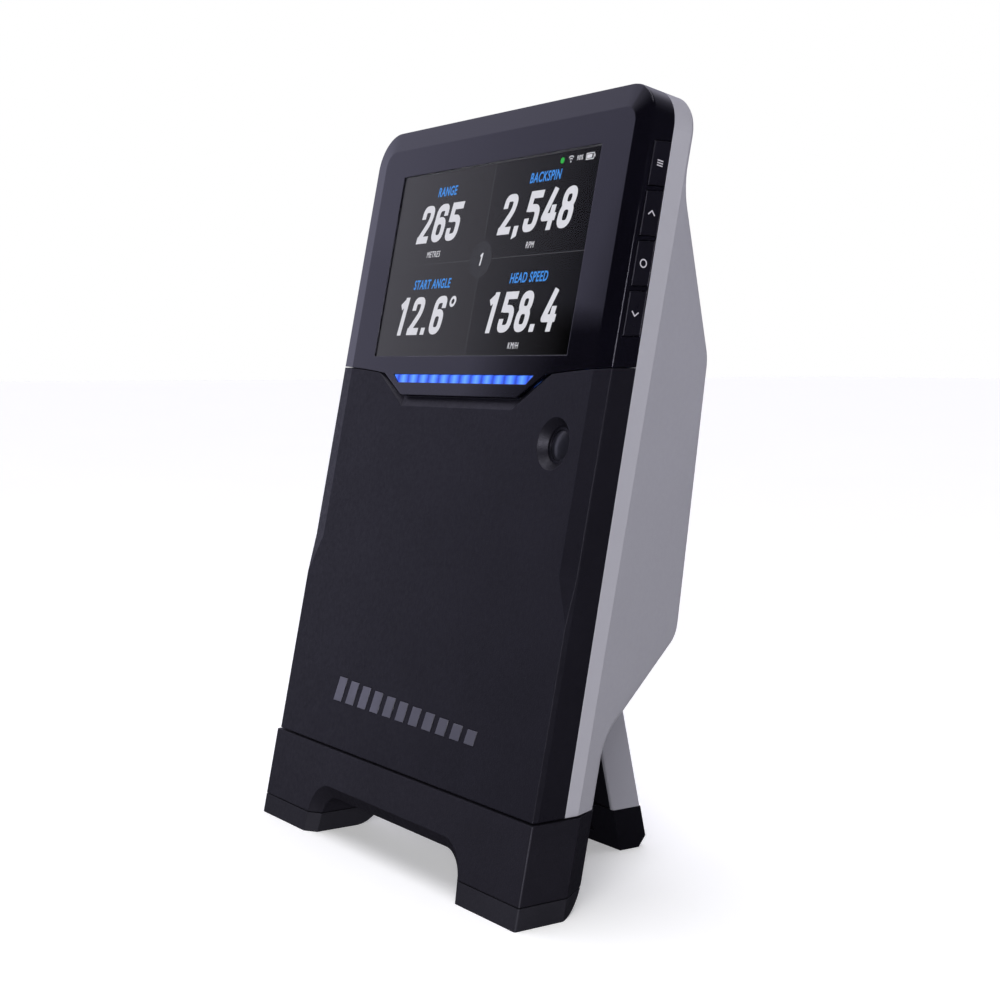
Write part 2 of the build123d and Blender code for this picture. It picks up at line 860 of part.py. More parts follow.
def boot_blank():
    """The whole boot with its arch, soles included."""
    half = half_width + boot_step
    with BuildPart() as blank:
        with BuildSketch(cross.offset(-boot_height)):
            Polygon(
                (-half, -boot_step),
                (half, -boot_step),
                (half, boot_side_depth),
                (boot_rear_half, boot_rear_depth + 0.01),
                (-boot_rear_half, boot_rear_depth + 0.01),
                (-half, boot_side_depth),
                align=None,
            )
        extrude(amount=3 * boot_height)
        with BuildSketch(upright_side):
            Polygon(
                (-20, 0),
                (boot_rear(0), 0),
                (boot_rear(boot_height), boot_height),
                (-20, boot_height),
                align=None,
            )
            heel = vertices().sort_by_distance(Vector(boot_rear(0), 0))[0]
            fillet(heel, boot_heel_radius)
        extrude(amount=through / 2, both=True, mode=Mode.INTERSECT)
        front_sides = edges().filter_by(
            lambda edge: abs(abs(edge.center().X) - half) < 0.01
            and abs(front.to_local_coords(edge.center()).Z - boot_step) < 0.01
        )
        fillet(front_sides, boot_edge_round)
        with BuildSketch(upright_front):
            Polygon(
                (-arch_half_bottom, -10),
                (arch_half_bottom, -10),
                (arch_half_top, arch_height),
                (-arch_half_top, arch_height),
                align=None,
            )
            fillet(vertices().group_by(Axis.Y)[-1], arch_radius)
        extrude(amount=-through, mode=Mode.SUBTRACT)
        with BuildSketch(front_plane(-boot_step - 0.02)):
            wide = arch_bevel
            points = arch_sketch_points(
                arch_half_bottom + wide, arch_half_top + wide, arch_height + wide, -boot_step
            )
            Polygon(*points, align=None)
            fillet(vertices().group_by(Axis.Y)[-1], arch_radius + wide * 0.6)
        with BuildSketch(front_plane(arch_bevel_depth - boot_step)):
            points = arch_sketch_points(
                arch_half_bottom, arch_half_top, arch_height, arch_bevel_depth - boot_step
            )
            Polygon(*points, align=None)
            fillet(vertices().group_by(Axis.Y)[-1], arch_radius)
        loft(ruled=True, mode=Mode.SUBTRACT)
    return blank.part


boot_solid = boot_blank()

sole_pegs = [(sign * u, 13.0) for sign in (-1, 1) for u in (57.0, 71.0)]

with BuildPart() as base_boot:
    add(boot_solid)
    split(bisect_by=Plane.XY.offset(sole_height), keep=Keep.TOP)
    with BuildSketch(Plane(ground, origin=(0, front_y, sole_height - 1))):
        with Locations(*sole_pegs):
            Circle(peg_radius + fit_gap)
    extrude(amount=peg_height + 1, mode=Mode.SUBTRACT)
    with BuildSketch(Plane(ground, origin=(0, front_y, boot_tray_floor))):
        tray_front = boot_height * lean_sin / lean_cos + boot_wall
        tray_rear = boot_rear(boot_tray_floor) - boot_wall
        with Locations((0, (tray_front + tray_rear) / 2)):
            Rectangle(2 * (boot_rear_half - boot_wall), tray_rear - tray_front)
        for rib in (-1, 0, 1):
            with Locations((rib * boot_rear_half / 2, (tray_front + tray_rear) / 2)):
                Rectangle(boot_wall, tray_rear - tray_front, mode=Mode.SUBTRACT)
        with Locations(*boot_screw_places):
            Circle(boss_radius, mode=Mode.SUBTRACT)
    extrude(amount=boot_height, mode=Mode.SUBTRACT)
    with BuildSketch(ground):
        with Locations(*boot_screw_places):
            Circle(boot_screw_radius + 0.15)
    extrude(amount=through, mode=Mode.SUBTRACT)
    with BuildSketch(ground):
        with Locations(*boot_screw_places):
            Circle(boot_head_radius + 0.2)
    extrude(amount=arch_height + boot_head_height + 1, mode=Mode.SUBTRACT)

with BuildPart() as both_soles:
    add(boot_solid)
    split(bisect_by=Plane.XY.offset(sole_height - seam_gap), keep=Keep.BOTTOM)
    with BuildSketch(Plane(ground, origin=(0, front_y, sole_height - seam_gap - 1))):
        with Locations(*sole_pegs):
            Circle(peg_radius)
    extrude(amount=peg_height + seam_gap + 1)

with BuildPart() as left_sole:
    add(both_soles.part)
    split(bisect_by=Plane.YZ, keep=Keep.BOTTOM)

with BuildPart() as right_sole:
    add(both_soles.part)
    split(bisect_by=Plane.YZ, keep=Keep.TOP)

boot_head_seat = arch_height + boot_head_height + 1

with BuildPart() as boot_screws:
    for place in boot_screw_places:
        with BuildSketch(Plane(ground, origin=(0, front_y, boot_head_seat - boot_head_height))):
            with Locations(place):
                Circle(boot_head_radius)
        extrude(amount=boot_head_height)
        with BuildSketch(Plane(ground, origin=(0, front_y, boot_head_seat - 0.5))):
            with Locations(place):
                Circle(boot_screw_radius)
        extrude(amount=boot_screw_end - boot_head_seat + 0.5)
        with BuildSketch(Plane(ground, origin=(0, front_y, boot_head_seat - boot_head_height))):
            with Locations(place):
                RegularPolygon(1.3, 6)
        extrude(amount=1.0, mode=Mode.SUBTRACT)

with BuildPart() as case_screws:
    for place in top_screws + bottom_screws:
        head_seat = rear_depth(place[1]) - case_head_height - case_head_recess
        with BuildSketch(front_plane(head_seat)):
            with Locations(place):
                Circle(case_head_radius)
        extrude(amount=-case_head_height)
        with BuildSketch(front_plane(boss_tip)):
            with Locations(place):
                Circle(case_screw_radius)
        extrude(amount=boss_tip - head_seat - 0.5)
        with BuildSketch(front_plane(head_seat + case_head_height)):
            with Locations(place):
                RegularPolygon(1.3, 6)
        extrude(amount=1.0, mode=Mode.SUBTRACT)

# ---------------------------------------------------------------- buttons
def press_button(top):
    """A button: cap in the side wall, flange behind it, and the stem that meets its switch."""
    middle_depth = (button_front + button_rear) / 2
    middle_height = top - button_height / 2
    with BuildPart() as button:
        with BuildSketch(side.offset(cap_inner)):
            add(side_window(top, 0))
        extrude(amount=front_wall + button_proud)
        outer = faces().sort_by(Axis.X)[-1]
        fillet(outer.edges(), 0.25)
        with BuildSketch(side.offset(flange_inner)):
            with BuildLine():
                near = button_front
                far = button_rear
                low = top - button_height - button_flange_lip
                high = top + button_flange_lip
                Polyline(
                    (near, v_at(low, near)),
                    (far, v_at(low, far)),
                    (far, v_at(high, far)),
                    (near, v_at(high, near)),
                    close=True,
                )
            make_face()
        extrude(amount=button_flange)
        with BuildSketch(side.offset(flange_inner)):
            add(side_window(top, -1))
        extrude(amount=button_flange + 0.5)
        with BuildSketch(side.offset(stem_tip)):
            with Locations((middle_depth, v_at(middle_height, middle_depth))):
                Circle(button_stem_radius)
        extrude(amount=button_stem_length + 0.2)
    return button.part


buttons = {}
for name, top in zip(button_names, button_tops):
    buttons[name] = press_button(top)

switch_face = stem_tip - button_travel - fit_gap
button_board_face = switch_face - switch_height
button_middle = (button_front + button_rear) / 2
board_low = v_at(button_tops[-1] - button_height, button_middle) - 3
board_high = v_at(button_top, button_middle) + 3

with BuildPart() as button_board:
    with BuildSketch(side.offset(button_board_face - board_thickness)):
        with Locations((front_wall + 0.3 + button_board_width / 2, (board_low + board_high) / 2)):
            Rectangle(button_board_width, board_high - board_low)
    extrude(amount=board_thickness)
    for top in button_tops:
        height = v_at(top - button_height / 2, button_middle)
        with BuildSketch(side.offset(button_board_face - 0.1)):
            with Locations((button_middle, height)):
                RectangleRounded(4.5, 4.5, 0.6)
        extrude(amount=switch_height - 0.5)
        with BuildSketch(side.offset(button_board_face)):
            with Locations((button_middle, height)):
                Circle(1.5)
        extrude(amount=switch_height)

# ---------------------------------------------------------------- inside: frame and boards
chassis_half = half_width - front_wall - 2.6
chassis_high = body_top - front_wall - 3
chassis_back = chassis_face + chassis_thickness

radar_back = radar_face + radar_thickness

main_back = main_face + main_thickness


battery_back = min(
    rear_depth(port_v) - port_length - port_board_reach - battery_port_gap,
    rear_depth(battery_high) - rear_wall - battery_wall_gap,
)


def corners(left, right, low, high, margin):
    """The four corner places of a board, inside its edges."""
    return [
        (left + margin, low + margin),
        (right - margin, low + margin),
        (left + margin, high - margin),
        (right - margin, high - margin),
    ]


radar_posts = corners(radar_left, radar_right, radar_low, radar_high, 4)
main_posts = corners(-main_half, main_half, main_low, main_high, 4)
bracket_posts = [(sign * (main_half + 5), v) for sign in (-1, 1) for v in (battery_low + 6, battery_high - 6)]

with BuildPart() as chassis_plate:
    with BuildSketch(front_plane(chassis_face)):
        with Locations((0, (chassis_low + chassis_high) / 2)):
            RectangleRounded(2 * chassis_half, chassis_high - chassis_low, 9)
        with Locations(*top_screws, *bottom_screws):
            Circle(boss_radius + 0.6, mode=Mode.SUBTRACT)
        with Locations((0, ribbon_slot)):
            SlotOverall(ribbon_width + 6, 7, mode=Mode.SUBTRACT)
        with Locations((0, 75)):
            with GridLocations(40, 26, 3, 2):
                RectangleRounded(28, 16, 3, mode=Mode.SUBTRACT)
        with Locations((0, 228)):
            with GridLocations(44, 1, 2, 1):
                RectangleRounded(34, 12, 3, mode=Mode.SUBTRACT)
    extrude(amount=-chassis_thickness)

with BuildPart() as radar_board:
    with BuildSketch(front_plane(radar_face)):
        with Locations(((radar_left + radar_right) / 2, (radar_low + radar_high) / 2)):
            Rectangle(radar_right - radar_left, radar_high - radar_low)
    extrude(amount=-radar_thickness)
    with BuildSketch(front_plane(radar_face - 0.2)):
        with Locations(((radar_left + radar_right) / 2, (radar_low + radar_high) / 2 + 6)):
            with GridLocations(patch_pitch, patch_pitch, patch_columns, patch_rows):
                Rectangle(patch_size, patch_size)
    extrude(amount=-0.3)

with BuildPart() as radar_shield:
    with BuildSketch(front_plane(radar_back)):
        with Locations(((radar_left + radar_right) / 2, (radar_low + radar_high) / 2)):
            RectangleRounded(70, 50, 2)
            RectangleRounded(69, 49, 1.6, mode=Mode.SUBTRACT)
    extrude(amount=-3.0)
    with BuildSketch(front_plane(radar_back + 3.0)):
        with Locations(((radar_left + radar_right) / 2, (radar_low + radar_high) / 2)):
            RectangleRounded(70, 50, 2)
            with GridLocations(8, 8, 7, 5):
                Circle(1.0, mode=Mode.SUBTRACT)
    extrude(amount=-0.5)

with BuildPart() as main_board:
    with BuildSketch(front_plane(main_face)):
        with Locations((0, (main_low + main_high) / 2)):
            Rectangle(2 * main_half, main_high - main_low)
    extrude(amount=-main_thickness)
    with BuildSketch(front_plane(main_back)):
        with Locations((-24, 122), (28, 118), (32, 176)):
            RectangleRounded(14, 14, 0.5)
        with Locations((6, 112), (-44, 150), (44, 150)):
            Rectangle(9, 6)
        with Locations((0, main_high - 6)):
            Rectangle(30, 5)
    extrude(amount=-1.4)

shield_place = (-12, 168)

with BuildPart() as board_shield:
    with BuildSketch(front_plane(main_back)):
        with Locations(shield_place):
            RectangleRounded(shield_width, shield_length, 2)
            RectangleRounded(shield_width - 1, shield_length - 1, 1.6, mode=Mode.SUBTRACT)
    extrude(amount=-shield_height)
    with BuildSketch(front_plane(main_back + shield_height)):
        with Locations(shield_place):
            RectangleRounded(shield_width, shield_length, 2)
    extrude(amount=-0.4)

spreader_face = main_back + shield_height + 0.4

with BuildPart() as heat_spreader:
    with BuildSketch(front_plane(spreader_face)):
        with Locations(shield_place):
            RectangleRounded(shield_width - 4, shield_length - 4, 2)
    extrude(amount=-1.0)
    with BuildSketch(front_plane(spreader_face + 1.0)):
        with Locations(shield_place):
            with GridLocations(5, 1, 9, 1):
                Rectangle(1.2, shield_length - 6)
    extrude(amount=-2.6)

with BuildPart() as standoffs:
    with BuildSketch(front_plane(radar_back)):
        with Locations(*radar_posts):
            Circle(standoff_radius)
    extrude(amount=radar_back - chassis_face)
    with BuildSketch(front_plane(chassis_back)):
        with Locations(*main_posts):
            Circle(standoff_radius)
    extrude(amount=chassis_back - main_face)
    with BuildSketch(front_plane(chassis_back)):
        with Locations(*bracket_posts):
            Circle(standoff_radius)
    extrude(amount=chassis_back - battery_face + 1.6)

with BuildPart() as battery_bracket:
    with BuildSketch(front_plane(battery_face - 1.6)):
        with Locations((0, (battery_low + battery_high) / 2)):
            RectangleRounded(2 * (main_half + 9), battery_high - battery_low, 4)
            RectangleRounded(battery_half, battery_high - battery_low - 22, 4, mode=Mode.SUBTRACT)
    extrude(amount=-1.2)
    for sign in (-1, 1):
        with BuildSketch(front_plane(battery_face - 0.4)):
            with Locations((sign * (battery_half + 1.2), (battery_low + battery_high) / 2)):
                Rectangle(1.2, battery_high - battery_low - 12)
        extrude(amount=-9)

with BuildPart() as battery_pack:
    with BuildSketch(front_plane(battery_face)):
        with Locations((0, (battery_low + battery_high) / 2)):
            RectangleRounded(2 * battery_half, battery_high - battery_low, 3)
    extrude(amount=battery_face - battery_back)
    ends = faces().group_by(Axis(front_edge, front.z_dir))
    fillet(ends[0].edges() + ends[-1].edges(), 1.5)

with BuildPart() as wireless_antenna:
    with BuildSketch(front_plane(front_wall + 0.6)):
        with Locations((-30, (display_bottom + display_height + chassis_high) / 2 + 0.5)):
            RectangleRounded(2 * antenna_half, 5, 1)
    extrude(amount=-0.8)

with BuildPart() as display_cable:
    with BuildSketch(side.offset(-ribbon_width / 2)):
        with BuildLine():
            Polyline(
                (panel_back + 0.2, ribbon_slot + 14),
                (panel_back + 0.2, ribbon_slot + 4),
                (chassis_face - 2, ribbon_slot),
                (chassis_back + 1.2, ribbon_slot),
                (chassis_back + 1.8, ribbon_slot + 3),
                (main_face - 0.2, ribbon_slot + 8),
                (main_face - 0.2, ribbon_slot + 14),
            )
        trace(line_width=ribbon_thickness)
    extrude(amount=ribbon_width)

port_back = rear_depth(port_v) - port_length - 0.6

with BuildPart() as charging_port:
    with BuildSketch(front_plane(port_back)):
        with Locations((port_u, port_v)):
            RectangleRounded(port_width, port_height, port_height / 2 - 0.01)
    extrude(amount=port_back - rear_depth(port_v) + 0.3)
    with BuildSketch(front_plane(port_back + 1)):
        with Locations((port_u, port_v)):
            RectangleRounded(port_width - 0.7, port_height - 0.7, (port_height - 0.7) / 2 - 0.01)
            Rectangle(port_width - 2.4, 0.7, mode=Mode.SUBTRACT)
    extrude(amount=-20, mode=Mode.SUBTRACT)

with BuildPart() as port_board:
    with BuildSketch(front_plane(port_back - 1.2)):
        with Locations((port_u, port_v)):
            Rectangle(18, 12)
    extrude(amount=-1.2)
    with BuildSketch(front_plane(port_back - 2.2)):
        with Locations((port_u + 3, port_v)):
            Rectangle(5, 7)
    extrude(amount=-1.0)

# ---------------------------------------------------------------- kickstand
leg_half = leg_width / 2
foot_top = (foot_height - hinge_z) / leg_cos
foot_seam = Plane.XY.offset(foot_height)
well_half = leg_half + leg_side_gap


def leg_side(low, high, near, far):
    """A rectangle in the leg's side view: along the leg and through its thickness."""
    return [(near, low), (far, low), (far, high), (near, high)]


def leg_blank():
    """The whole leg, from its rounded root to the ground."""
    half = leg_thickness / 2
    with BuildPart() as blank:
        with BuildSketch(leg_axis.offset(-leg_half)):
            Circle(half)
            Polygon(*leg_side(-hinge_z / leg_cos - 10, 0, -half, half), align=None)
        extrude(amount=leg_width)
        split(bisect_by=Plane.XY, keep=Keep.TOP)
    return blank.part


leg_solid = leg_blank()
screw_rows = [foot_top + 12, leg_root - 10]
liner_screw_places = [(sign * (leg_half - 9), along) for sign in (-1, 1) for along in screw_rows]
leg_front = Plane(leg_axis.origin, x_dir=(1, 0, 0), z_dir=(0, -leg_cos, -leg_sin))
liner_face = leg_thickness / 2 - liner_recess
liner_back = liner_face - liner_thickness

with BuildPart() as kickstand_leg:
    add(leg_solid)
    split(bisect_by=foot_seam, keep=Keep.TOP)
    with BuildSketch(leg_axis.offset(-leg_half + leg_wall)):
        near = -leg_thickness / 2 - 1
        low = foot_top - leg_thickness / 2
        Polygon(*leg_side(low, leg_root, near, leg_thickness / 2 - leg_wall), align=None)
    extrude(amount=leg_width - 2 * leg_wall, mode=Mode.SUBTRACT)
    with BuildSketch(leg_front.offset(liner_back)):
        with Locations(*liner_screw_places):
            Circle(3)
    extrude(amount=-liner_back - leg_thickness / 2 + leg_wall / 2)
    with BuildSketch(leg_front.offset(liner_back + 1)):
        with Locations(*liner_screw_places):
            Circle(screw_hole)
    extrude(amount=-liner_back - 1 - 3.2, mode=Mode.SUBTRACT)
    with BuildSketch(leg_axis.offset(-leg_half)):
        Circle(pin_radius + pin_clearance)
    extrude(amount=leg_width, mode=Mode.SUBTRACT)
    rear_corners = edges().filter_by(
        lambda edge: abs(leg_axis.to_local_coords(edge.center()).X - leg_thickness / 2) < 0.01
        and abs(abs(edge.center().X) - leg_half) < 0.01
    )
    fillet(rear_corners, 0.8)

with BuildPart() as kickstand_liner:
    with BuildSketch(leg_front.offset(liner_face)):
        low = foot_top + liner_face * leg_sin / leg_cos + fit_gap
        high = leg_root - fit_gap
        with Locations((0, (low + high) / 2)):
            Rectangle(leg_width - 2 * leg_wall - 2 * fit_gap, high - low)
        with Locations(*liner_screw_places):
            Circle(screw_hole + 0.1, mode=Mode.SUBTRACT)
    extrude(amount=-liner_thickness)
    with BuildSketch(leg_front.offset(liner_face)):
        with Locations(*liner_screw_places):
            Circle(2.1)
    extrude(amount=-0.7, mode=Mode.SUBTRACT)

with BuildPart() as liner_screws:
    with BuildSketch(leg_front.offset(liner_face - 0.1)):
        with Locations(*liner_screw_places):
            Circle(2.0)
    extrude(amount=-0.6)
    with BuildSketch(leg_front.offset(liner_face - 0.5)):
        with Locations(*liner_screw_places):
            Circle(screw_hole)
    extrude(amount=-5.5)
    with BuildSketch(leg_front.offset(liner_face)):
        with Locations(*liner_screw_places):
            RegularPolygon(0.9, 6)
    extrude(amount=-0.5, mode=Mode.SUBTRACT)

notch_place = (14.0, foot_top - 6.2)

with BuildPart() as kickstand_foot:
    add(leg_solid)
    split(bisect_by=foot_seam, keep=Keep.BOTTOM)
    ground_edges = edges().filter_by(lambda edge: edge.center().Z < 0.01 and edge.length > leg_half)
    heel = ground_edges.sort_by(Axis.Y)[-1]
    chamfer(heel, foot_chamfer)
    with BuildSketch(leg_front.offset(leg_thickness / 2)):
        with Locations(notch_place, (-notch_place[0], notch_place[1])):
            Trapezoid(notch_width, notch_height, 70)
    extrude(amount=-notch_depth, mode=Mode.SUBTRACT)
    with BuildSketch(leg_axis.offset(-leg_half + leg_wall + 0.5)):
        near = -liner_back + fit_gap
        far = leg_thickness / 2 - leg_wall - fit_gap
        Polygon(*leg_side(foot_top - 2, foot_top + 6, near, far), align=None)
    extrude(amount=leg_width - 2 * leg_wall - 1)

with BuildPart() as hinge_pin:
    with BuildSketch(leg_axis.offset(-pin_reach)):
        Circle(pin_radius)
    extrude(amount=2 * pin_reach)

with BuildPart() as friction_washers:
    for sign in (-1, 1):
        inner = leg_half + (leg_side_gap - washer_thickness) / 2
        start = inner if sign > 0 else -inner - washer_thickness
        with BuildSketch(leg_axis.offset(start)):
            Circle(washer_radius)
            Circle(pin_radius, mode=Mode.SUBTRACT)
        extrude(amount=washer_thickness)

with BuildPart() as hinge_brackets:
    for sign in (-1, 1):
        inner = well_half + well_wall
        start = inner if sign > 0 else -inner - ear_thickness
        with BuildSketch(leg_axis.offset(start)):
            Circle(ear_radius)
            with Locations((-1.5, 0.65 * ear_radius)):
                Rectangle(8, 1.3 * ear_radius)
            Circle(pin_radius, mode=Mode.SUBTRACT)
        extrude(amount=ear_thickness)

for name, button in buttons.items():
    button.label = name
    export_step(button, f"parts/{name}.step")

finish(display_bezel, "display_bezel")
finish(display_glass, "display_glass")
finish(display_panel, "display_panel")
finish(display_cable, "display_cable")
finish(light_bar_lens, "light_bar_lens")
finish(light_bar_board, "light_bar_board")
finish(front_cover, "front_cover")
finish(badge_inlay, "badge_inlay")
finish(camera_ring, "camera_ring")
finish(camera_lens, "camera_lens")
finish(camera_module, "camera_module")
finish(rear_shell, "rear_shell")
finish(base_boot, "base_boot")
finish(left_sole, "left_sole")
finish(right_sole, "right_sole")
finish(boot_screws, "boot_screws")
finish(case_screws, "case_screws")
finish(button_board, "button_board")
finish(chassis_plate, "chassis_plate")
finish(standoffs, "standoffs")
finish(radar_board, "radar_board")
finish(radar_shield, "radar_shield")
finish(main_board, "main_board")
finish(board_shield, "board_shield")
finish(heat_spreader, "heat_spreader")
finish(battery_pack, "battery_pack")
finish(battery_bracket, "battery_bracket")
finish(wireless_antenna, "wireless_antenna")
finish(charging_port, "charging_port")
finish(port_board, "port_board")
finish(hinge_pin, "hinge_pin")
finish(hinge_brackets, "hinge_brackets")
finish(friction_washers, "friction_washers")
finish(kickstand_leg, "kickstand_leg")
finish(kickstand_liner, "kickstand_liner")
finish(kickstand_foot, "kickstand_foot")
finish(liner_screws, "liner_screws")
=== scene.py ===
import math

import bmesh
import bpy
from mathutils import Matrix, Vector


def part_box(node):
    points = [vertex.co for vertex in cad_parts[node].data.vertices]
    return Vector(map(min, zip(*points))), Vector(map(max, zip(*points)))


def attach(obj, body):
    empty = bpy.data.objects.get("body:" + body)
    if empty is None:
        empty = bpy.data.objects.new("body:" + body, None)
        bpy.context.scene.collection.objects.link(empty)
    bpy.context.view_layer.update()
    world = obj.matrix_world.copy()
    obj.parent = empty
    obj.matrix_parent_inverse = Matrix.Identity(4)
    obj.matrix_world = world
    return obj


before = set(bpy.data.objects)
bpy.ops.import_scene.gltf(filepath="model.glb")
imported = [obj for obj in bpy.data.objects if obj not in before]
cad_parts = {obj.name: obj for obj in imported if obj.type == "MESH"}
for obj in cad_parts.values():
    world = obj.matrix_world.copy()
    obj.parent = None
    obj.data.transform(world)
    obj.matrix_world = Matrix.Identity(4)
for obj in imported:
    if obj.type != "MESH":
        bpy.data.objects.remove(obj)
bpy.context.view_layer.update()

MM = 0.001

# ---------------------------------------------------------------- the leaned front face
# Places are millimetres: u across, v up the leaned front face, w into the body.
LEAN = math.radians(11.6)
ACROSS = Vector((1, 0, 0))
UP_FRONT = Vector((0, math.sin(LEAN), math.cos(LEAN)))
INTO_BODY = Vector((0, math.cos(LEAN), -math.sin(LEAN)))
GLASS_RECESS = 0.2
GLASS_THICKNESS = 0.7


def front_corner():
    """The ground-level point of the leaned front plane, from the display glass."""
    low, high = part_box("display_glass")
    near = low.y * math.cos(LEAN) - low.z * math.sin(LEAN)
    return Vector((0, (near - GLASS_RECESS * MM) / math.cos(LEAN), 0))


FRONT = front_corner()


def on_front(u, v, w):
    """A point on or behind the front face."""
    return FRONT + (ACROSS * u + UP_FRONT * v + INTO_BODY * w) * MM


def front_v(point):
    """v of a point, in millimetres."""
    return (point - FRONT).dot(UP_FRONT) / MM


GLASS_LOW, GLASS_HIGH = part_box("display_glass")
SCREEN_HALF = GLASS_HIGH.x / MM
SCREEN_LOW = front_v(Vector((0, GLASS_LOW.y, GLASS_LOW.z)))
SCREEN_HEIGHT = (GLASS_HIGH.z - GLASS_LOW.z - GLASS_THICKNESS * MM * math.sin(LEAN)) / math.cos(LEAN) / MM
PRINT_DEPTH = GLASS_RECESS + GLASS_THICKNESS + 0.03


# ---------------------------------------------------------------- material helpers
class Maker:
    """A node material, built by adding one node after another."""

    def __init__(self, name):
        self.material = bpy.data.materials.new(name)
        self.material.use_nodes = True
        self.tree = self.material.node_tree
        self.shader = self.tree.nodes["Principled BSDF"]
        self.place = self.node("ShaderNodeTexCoord").outputs["Object"]

    def node(self, kind, **inputs):
        node = self.tree.nodes.new(kind)
        for key, value in inputs.items():
            node.inputs[key.replace("_", " ")].default_value = value
        return node

    def link(self, start, end):
        self.tree.links.new(start, end)

    def set(self, **values):
        for key, value in values.items():
            self.shader.inputs[key.replace("_", " ")].default_value = value

    def noise(self, scale, detail=3.0, roughness=0.5):
        node = self.node("ShaderNodeTexNoise", Scale=scale, Detail=detail, Roughness=roughness)
        self.link(self.place, node.inputs["Vector"])
        return node.outputs["Fac"]

    def math(self, operation, first, second=0.0):
        node = self.node("ShaderNodeMath")
        node.operation = operation
        for socket, value in zip(node.inputs, (first, second)):
            if isinstance(value, (int, float)):
                socket.default_value = value
            else:
                self.link(value, socket)
        return node.outputs[0]

    def axis(self, name):
        split = self.node("ShaderNodeSeparateXYZ")
        self.link(self.place, split.inputs[0])
        return split.outputs[name]

    def ramp(self, source, stops):
        node = self.node("ShaderNodeValToRGB")
        ramp = node.color_ramp
        while len(ramp.elements) < len(stops):
            ramp.elements.new(0.5)
        for element, (position, color) in zip(ramp.elements, stops):
            element.position = position
            element.color = (*color, 1)
        self.link(source, node.inputs["Fac"])
        return node.outputs["Color"]

    def spread(self, source, low, high, start=0.0, end=1.0):
        node = self.node("ShaderNodeMapRange", From_Min=start, From_Max=end, To_Min=low, To_Max=high)
        self.link(source, node.inputs["Value"])
        return node.outputs["Result"]

    def color(self, source, stops):
        self.link(self.ramp(source, stops), self.shader.inputs["Base Color"])

    def rough(self, source, low, high):
        self.link(self.spread(source, low, high, 0.3, 0.7), self.shader.inputs["Roughness"])

    def bumps(self, round_edge, *layers):
        """Eased edges, then heights on top of one another: (source, strength, distance)."""
        normal = None
        if round_edge:
            node = self.node("ShaderNodeBevel", Radius=round_edge)
            node.samples = 4
            normal = node.outputs["Normal"]
        for source, strength, distance in layers:
            node = self.node("ShaderNodeBump", Strength=strength, Distance=distance)
            self.link(source, node.inputs["Height"])
            if normal:
                self.link(normal, node.inputs["Normal"])
            normal = node.outputs["Normal"]
        self.link(normal, self.shader.inputs["Normal"])


def shades(color, spread):
    """Two stops around a colour."""
    dark = tuple(c * (1 - spread) for c in color)
    light = tuple(c * (1 + spread) for c in color)
    return [(0.3, dark), (0.7, light)]


def moulded(name, color, rough, grain, depth, spread=0.12, edge=0.0003, **values):
    """Moulded plastic: fine eroded grain, slow changes of tone, eased edges."""
    m = Maker(name)
    m.color(m.noise(38, 4), shades(color, spread))
    m.rough(m.noise(620, 4), rough - 0.05, rough + 0.06)
    m.set(**values)
    m.bumps(edge, (m.noise(80, 2), 0.10, 0.00012), (m.noise(grain, 4, 0.65), 0.6, depth))
    return m.material


def gloss_black():
    m = Maker("gloss_black")
    m.color(m.noise(24, 3), shades((0.0016, 0.0014, 0.0030), 0.2))
    m.rough(m.noise(210, 5), 0.025, 0.045)
    m.set(Specular_IOR_Level=0.5, Specular_Tint=(0.84, 0.82, 1.0, 1), Coat_Weight=0.2, Coat_Roughness=0.03)
    m.bumps(0.0004, (m.noise(30, 2), 0.03, 0.0001))
    return m.material


def clear(name, tint, rough):
    m = Maker(name)
    m.color(m.noise(20, 2), shades(tint, 0.01))
    m.set(IOR=1.12, Transmission_Weight=1.0)
    m.rough(m.noise(40, 2), rough, rough + 0.004)
    m.bumps(0, (m.noise(12, 1), 0.01, 0.00002))
    return m.material


def lens():
    """Coated glass over a dark barrel: a soft grey sheen."""
    m = Maker("lens_glass")
    radial = m.noise(160, 2)
    m.color(radial, shades((0.0085, 0.0085, 0.0130), 0.15))
    m.rough(m.noise(90, 3), 0.26, 0.34)
    m.set(Specular_IOR_Level=0.5, Coat_Weight=0.4, Coat_Roughness=0.12)
    m.bumps(0.0002, (m.noise(120, 2), 0.02, 0.00002))
    return m.material


def metal(name, color, rough, brushed=False):
    m = Maker(name)
    m.set(Metallic=1.0)
    m.color(m.noise(60, 4), shades(color, 0.08))
    m.rough(m.noise(500, 4), rough - 0.05, rough + 0.08)
    if brushed:
        stretch = m.node("ShaderNodeMapping")
        stretch.inputs["Scale"].default_value = (60, 3000, 3000)
        m.link(m.place, stretch.inputs["Vector"])
        lines = m.node("ShaderNodeTexNoise", Scale=1.0, Detail=2.0)
        m.link(stretch.outputs["Vector"], lines.inputs["Vector"])
        m.bumps(0.00015, (lines.outputs["Fac"], 0.25, 0.00003))
    else:
        m.bumps(0.00015, (m.noise(900, 3), 0.2, 0.00003))
    return m.material


def circuit_board():
    m = Maker("circuit_board")
    tracks = m.node("ShaderNodeTexBrick", Scale=160.0, Mortar_Size=0.02)
    tracks.inputs["Color1"].default_value = (0.006, 0.040, 0.018, 1)
    tracks.inputs["Color2"].default_value = (0.010, 0.055, 0.026, 1)
    tracks.inputs["Mortar"].default_value = (0.020, 0.090, 0.042, 1)
    m.link(m.place, tracks.inputs["Vector"])
    m.link(tracks.outputs["Color"], m.shader.inputs["Base Color"])
    m.rough(m.noise(300, 3), 0.28, 0.42)
    m.bumps(0, (tracks.outputs["Fac"], 0.3, 0.00004))
    return m.material


